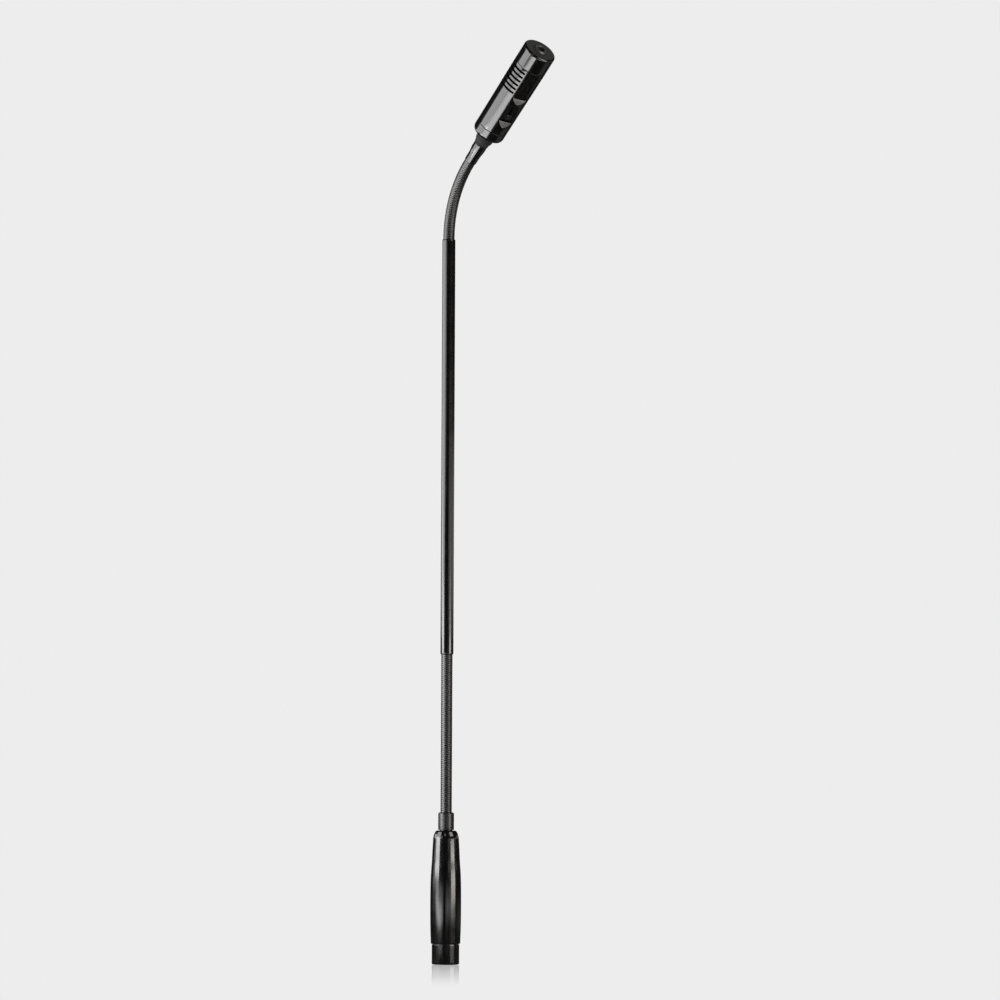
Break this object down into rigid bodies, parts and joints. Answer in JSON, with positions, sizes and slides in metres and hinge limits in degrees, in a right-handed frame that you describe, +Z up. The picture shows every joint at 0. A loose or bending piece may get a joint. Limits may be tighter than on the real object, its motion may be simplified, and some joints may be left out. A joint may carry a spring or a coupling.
{
  "type": "gooseneck podium microphone",
  "caption": "Podium microphone: XLR plug in a tapered barrel, rigid stem between two flexible necks, and a slotted cylindrical head with a sliding pattern switch.",
  "frame": {"origin": "centre of the end face of the XLR plug, at the bottom", "axes": "+Z up along the stem; the head leans towards -Y, where the talker is; +X is to the right when looking along +Y"},
  "size_m": [0.0234, 0.1067, 0.6344],
  "materials": {
    "barrel_metal": "satin black coating, slightly warm, fine grain",
    "stem_metal": "semi-gloss black enamel on a steel tube",
    "head_metal": "satin black coating, fine grain",
    "hose_winding": "blackened wound wire, satin",
    "black_rubber": "matt moulded rubber",
    "black_plastic": "matt moulded plastic",
    "nickel": "nickel-plated brass",
    "capsule_metal": "bare drawn aluminium",
    "wire_mesh": "blackened woven wire",
    "screen_cloth": "black acoustic cloth",
    "foam": "open-cell foam",
    "circuit_board": "green solder mask",
    "component_blue": "sleeved capacitor",
    "component_ochre": "dipped film capacitor",
    "gold_film": "gold-sputtered film",
    "cable_jacket": "flexible jacket"
  },
  "bodies": {
    "base": {"xlr_shell": "barrel_metal", "xlr_insert": "black_plastic", "xlr_pin_1": "nickel", "xlr_pin_2": "nickel", "xlr_pin_3": "nickel", "insert_lock_screw": "nickel", "barrel": "barrel_metal", "preamp_board": "circuit_board", "coupling_capacitor_1": "component_blue", "coupling_capacitor_2": "component_blue", "film_capacitor": "component_ochre", "output_transistor": "black_plastic", "neck_ferrule": "barrel_metal", "ferrule_lock_nut": "nickel", "cable_grommet": "black_rubber", "base_cable": "cable_jacket", "lower_flex_base": "hose_winding"},
    "lower_neck_1": {"lower_flex_link_1": "hose_winding"},
    "lower_neck_2": {"lower_flex_link_2": "hose_winding"},
    "lower_neck_3": {"lower_flex_link_3": "hose_winding"},
    "lower_neck_4": {"lower_flex_link_4": "hose_winding"},
    "lower_neck_5": {"lower_flex_link_5": "hose_winding"},
    "lower_neck_6": {"lower_flex_link_6": "hose_winding"},
    "lower_neck_7": {"lower_flex_link_7": "hose_winding"},
    "stem": {"lower_flex_tip": "hose_winding", "stem_plug_lower": "nickel", "stem_tube": "stem_metal", "stem_plug_upper": "nickel", "stem_cable": "cable_jacket", "upper_flex_base": "hose_winding"},
    "upper_neck_1": {"upper_flex_link_1": "hose_winding"},
    "upper_neck_2": {"upper_flex_link_2": "hose_winding"},
    "upper_neck_3": {"upper_flex_link_3": "hose_winding"},
    "upper_neck_4": {"upper_flex_link_4": "hose_winding"},
    "upper_neck_5": {"upper_flex_link_5": "hose_winding"},
    "upper_neck_6": {"upper_flex_link_6": "hose_winding"},
    "upper_neck_7": {"upper_flex_link_7": "hose_winding"},
    "head": {"upper_flex_tip": "hose_winding", "neck_boot": "head_metal", "shock_collar": "black_rubber", "head_base_cap": "head_metal", "neck_nut": "nickel", "head_housing": "head_metal", "window_grille": "wire_mesh", "screen_liner": "screen_cloth", "front_cap": "head_metal", "port_ring": "head_metal", "front_grille": "wire_mesh", "front_foam": "foam", "capsule_case": "capsule_metal", "capsule_diaphragm": "gold_film", "capsule_backplate": "nickel", "capsule_ring_1": "black_rubber", "capsule_ring_2": "black_rubber", "pattern_switch_body": "black_plastic", "pattern_board": "circuit_board", "head_cable": "cable_jacket"},
    "switch_slider": {"pattern_slider": "black_plastic"}
  },
  "joints": [
    {"name": "lower_pitch", "type": "hinge", "parent": "base", "child": "lower_neck_1", "pos_m": [0, 0, 0.11166], "axis": [1, 0, 0], "range_deg": [-22.5, 22.5]},
    {"name": "lower_side", "type": "hinge", "parent": "lower_neck_1", "child": "lower_neck_2", "pos_m": [0, 0, 0.12517], "axis": [0, 1, 0], "range_deg": [-22.5, 22.5]},
    {"name": "lower_pitch_2", "type": "hinge", "parent": "lower_neck_2", "child": "lower_neck_3", "pos_m": [0, 0, 0.13868], "axis": [1, 0, 0], "range_deg": [-22.5, 22.5]},
    {"name": "lower_side_2", "type": "hinge", "parent": "lower_neck_3", "child": "lower_neck_4", "pos_m": [0, 0, 0.15219], "axis": [0, 1, 0], "range_deg": [-22.5, 22.5]},
    {"name": "lower_pitch_3", "type": "hinge", "parent": "lower_neck_4", "child": "lower_neck_5", "pos_m": [0, 0, 0.16571], "axis": [1, 0, 0], "range_deg": [-22.5, 22.5]},
    {"name": "lower_side_3", "type": "hinge", "parent": "lower_neck_5", "child": "lower_neck_6", "pos_m": [0, 0, 0.17922], "axis": [0, 1, 0], "range_deg": [-22.5, 22.5]},
    {"name": "lower_pitch_4", "type": "hinge", "parent": "lower_neck_6", "child": "lower_neck_7", "pos_m": [0, 0, 0.19273], "axis": [1, 0, 0], "range_deg": [-22.5, 22.5]},
    {"name": "lower_side_4", "type": "hinge", "parent": "lower_neck_7", "child": "stem", "pos_m": [0, 0, 0.20624], "axis": [0, 1, 0], "range_deg": [-22.5, 22.5]},
    {"name": "upper_pitch", "type": "hinge", "parent": "stem", "child": "upper_neck_1", "pos_m": [0, 0, 0.50274], "axis": [1, 0, 0], "range_deg": [-28, 7]},
    {"name": "upper_side", "type": "hinge", "parent": "upper_neck_1", "child": "upper_neck_2", "pos_m": [0, -0.00067, 0.50998], "axis": [0, 0.9906, 0.137], "range_deg": [-17.5, 17.5]},
    {"name": "upper_pitch_2", "type": "hinge", "parent": "upper_neck_2", "child": "upper_neck_3", "pos_m": [0, -0.00199, 0.51713], "axis": [1, 0, 0], "range_deg": [-28, 7]},
    {"name": "upper_side_2", "type": "hinge", "parent": "upper_neck_3", "child": "upper_neck_4", "pos_m": [0, -0.00396, 0.52412], "axis": [0, 0.949, 0.3152], "range_deg": [-17.5, 17.5]},
    {"name": "upper_pitch_3", "type": "hinge", "parent": "upper_neck_4", "child": "upper_neck_5", "pos_m": [0, -0.00657, 0.53091], "axis": [1, 0, 0], "range_deg": [-28, 7]},
    {"name": "upper_side_3", "type": "hinge", "parent": "upper_neck_5", "child": "upper_neck_6", "pos_m": [0, -0.00979, 0.53743], "axis": [0, 0.8757, 0.4829], "range_deg": [-17.5, 17.5]},
    {"name": "upper_pitch_4", "type": "hinge", "parent": "upper_neck_6", "child": "upper_neck_7", "pos_m": [0, -0.01359, 0.54363], "axis": [1, 0, 0], "range_deg": [-28, 7]},
    {"name": "upper_side_4", "type": "hinge", "parent": "upper_neck_7", "child": "head", "pos_m": [0, -0.01794, 0.54946], "axis": [0, 0.773, 0.6344], "range_deg": [-17.5, 17.5]},
    {"name": "pattern_select", "type": "slide", "parent": "head", "child": "switch_slider", "axis": [0, -0.6691, 0.7431], "range_m": [0, 0.006]}
  ],
  "couplings": [
    {"joint": "lower_pitch_2", "follows": "lower_pitch", "ratio": 1},
    {"joint": "lower_side_2", "follows": "lower_side", "ratio": 1},
    {"joint": "lower_pitch_3", "follows": "lower_pitch", "ratio": 1},
    {"joint": "lower_side_3", "follows": "lower_side", "ratio": 1},
    {"joint": "lower_pitch_4", "follows": "lower_pitch", "ratio": 1},
    {"joint": "lower_side_4", "follows": "lower_side", "ratio": 1},
    {"joint": "upper_pitch_2", "follows": "upper_pitch", "ratio": 1},
    {"joint": "upper_side_2", "follows": "upper_side", "ratio": 1},
    {"joint": "upper_pitch_3", "follows": "upper_pitch", "ratio": 1},
    {"joint": "upper_side_3", "follows": "upper_side", "ratio": 1},
    {"joint": "upper_pitch_4", "follows": "upper_pitch", "ratio": 1},
    {"joint": "upper_side_4", "follows": "upper_side", "ratio": 1}
  ]
}
